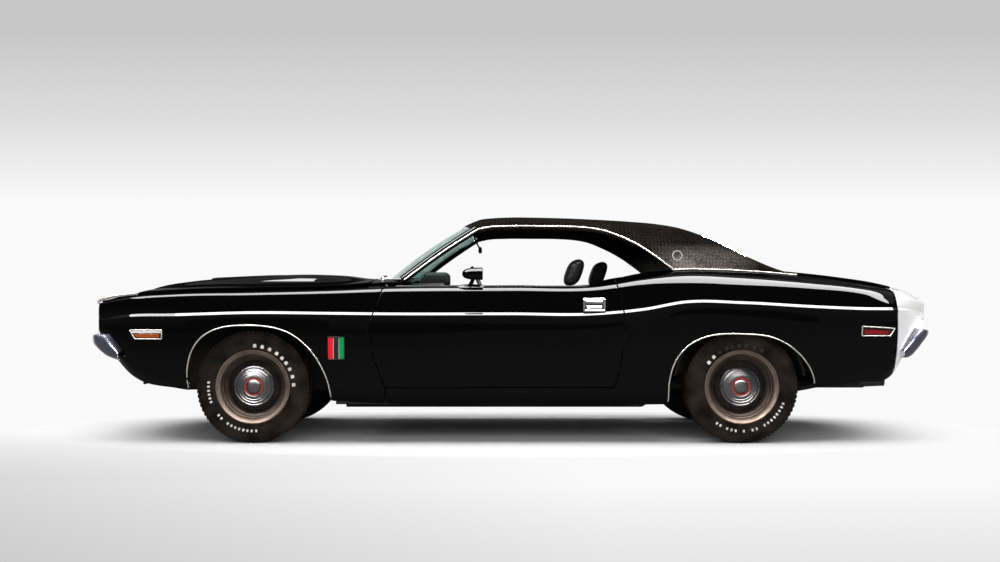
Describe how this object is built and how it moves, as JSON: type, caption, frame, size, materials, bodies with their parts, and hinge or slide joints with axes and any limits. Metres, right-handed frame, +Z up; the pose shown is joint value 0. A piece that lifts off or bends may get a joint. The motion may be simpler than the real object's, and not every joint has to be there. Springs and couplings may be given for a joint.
{
  "type": "two-door muscle car",
  "caption": "Black two-door hardtop muscle car with a vinyl roof, opening doors, hood and deck lid, steered front wheels and a hollow cabin.",
  "frame": {"origin": "on the ground, under the middle of the overall length and width", "axes": "+X towards the tail, -X towards the nose; +Y towards the car's right side, -Y towards the driver's left side; +Z up"},
  "size_m": [4.859, 1.9322, 1.3319],
  "materials": {
    "body_paint": "high gloss black",
    "vinyl_roof": "grained dark brown-black vinyl",
    "chrome": "polished",
    "underbody_paint": "satin black",
    "chassis_metal": "dull grey",
    "engine_iron": "painted orange",
    "exhaust_steel": "satin",
    "trim_plastic": "matt black",
    "seat_vinyl": "satin black vinyl",
    "glass": "light green tint",
    "lamp_glass": "clear lens",
    "red_lens": "glossy red",
    "amber_lens": "glossy amber",
    "tyre": "matt",
    "wheel_steel": "dusty steel with a bright cap"
  },
  "bodies": {
    "body": {"body_side_left": "body_paint", "body_side_right": "body_paint", "bumper_brackets": "underbody_paint", "cowl": "body_paint", "dashboard": "trim_plastic", "deck_filler": "body_paint", "engine": "engine_iron", "exhaust": "exhaust_steel", "firewall": "underbody_paint", "floor_pan": "underbody_paint", "front_bumper": "chrome", "front_fender_left": "body_paint", "front_fender_right": "body_paint", "front_markers": "amber_lens", "front_seat_left": "seat_vinyl", "front_seat_right": "seat_vinyl", "front_suspension": "chassis_metal", "front_valance": "underbody_paint", "fuel_tank": "chassis_metal", "gearbox": "chassis_metal", "grille": "trim_plastic", "headlamps": "lamp_glass", "inner_fenders": "underbody_paint", "inner_sides": "underbody_paint", "leaf_springs": "chassis_metal", "nose_panel": "body_paint", "package_shelf": "underbody_paint", "radiator": "chassis_metal", "rear_axle": "chassis_metal", "rear_bumper": "chrome", "rear_markers": "red_lens", "rear_seat": "seat_vinyl", "rear_valance": "underbody_paint", "rear_window": "glass", "reversing_lamp": "lamp_glass", "roof": "vinyl_roof", "steering_column": "trim_plastic", "tail_lamps": "red_lens", "tail_panel": "body_paint", "windscreen": "glass"},
    "door_left": {"door_left": "body_paint", "door_handle_left": "chrome", "door_mirror": "chrome"},
    "door_right": {"door_right": "body_paint", "door_handle_right": "chrome"},
    "hood": {"hood": "body_paint"},
    "deck_lid": {"deck_lid": "body_paint"},
    "knuckle_left": {"knuckle_left": "chassis_metal"},
    "knuckle_right": {"knuckle_right": "chassis_metal"},
    "front_left_wheel": {"wheel_front_left": "wheel_steel", "tyre_front_left": "tyre"},
    "front_right_wheel": {"wheel_front_right": "wheel_steel", "tyre_front_right": "tyre"},
    "rear_left_wheel": {"wheel_rear_left": "wheel_steel", "tyre_rear_left": "tyre"},
    "rear_right_wheel": {"wheel_rear_right": "wheel_steel", "tyre_rear_right": "tyre"},
    "steering_wheel": {"steering_wheel": "trim_plastic"}
  },
  "joints": [
    {"name": "steer_left", "type": "hinge", "parent": "body", "child": "knuckle_left", "pos_m": [-1.4745, -0.69, 0.322], "axis": [0, 0, 1], "range_deg": [-30, 30]},
    {"name": "steer_right", "type": "hinge", "parent": "body", "child": "knuckle_right", "pos_m": [-1.4745, 0.69, 0.322], "axis": [0, 0, 1], "range_deg": [-30, 30]},
    {"name": "steering_wheel_turn", "type": "hinge", "parent": "body", "child": "steering_wheel", "pos_m": [-0.15, -0.37, 0.852], "axis": [0.9063, 0, 0.4226], "range_deg": [-500, 500]},
    {"name": "front_left_spin", "type": "hinge", "parent": "knuckle_left", "child": "front_left_wheel", "pos_m": [-1.4745, -0.758, 0.322], "axis": [0, 1, 0], "continuous": true},
    {"name": "front_right_spin", "type": "hinge", "parent": "knuckle_right", "child": "front_right_wheel", "pos_m": [-1.4745, 0.758, 0.322], "axis": [0, 1, 0], "continuous": true},
    {"name": "rear_left_spin", "type": "hinge", "parent": "body", "child": "rear_left_wheel", "pos_m": [1.3195, -0.771, 0.322], "axis": [0, 1, 0], "continuous": true},
    {"name": "rear_right_spin", "type": "hinge", "parent": "body", "child": "rear_right_wheel", "pos_m": [1.3195, 0.771, 0.322], "axis": [0, 1, 0], "continuous": true},
    {"name": "door_left_hinge", "type": "hinge", "parent": "body", "child": "door_left", "pos_m": [-0.77, -0.948, 0.6], "axis": [0, 0, -1], "range_deg": [0, 65]},
    {"name": "door_right_hinge", "type": "hinge", "parent": "body", "child": "door_right", "pos_m": [-0.77, 0.948, 0.6], "axis": [0, 0, 1], "range_deg": [0, 65]},
    {"name": "hood_hinge", "type": "hinge", "parent": "body", "child": "hood", "pos_m": [-0.8187, 0, 0.936], "axis": [0, 1, 0], "range_deg": [0, 50]},
    {"name": "deck_lid_hinge", "type": "hinge", "parent": "body", "child": "deck_lid", "pos_m": [1.6448, 0, 0.984], "axis": [0, -1, 0], "range_deg": [0, 70]}
  ],
  "couplings": [
    {"joint": "steer_right", "follows": "steer_left", "ratio": 1},
    {"joint": "steering_wheel_turn", "follows": "steer_left", "ratio": 16}
  ]
}
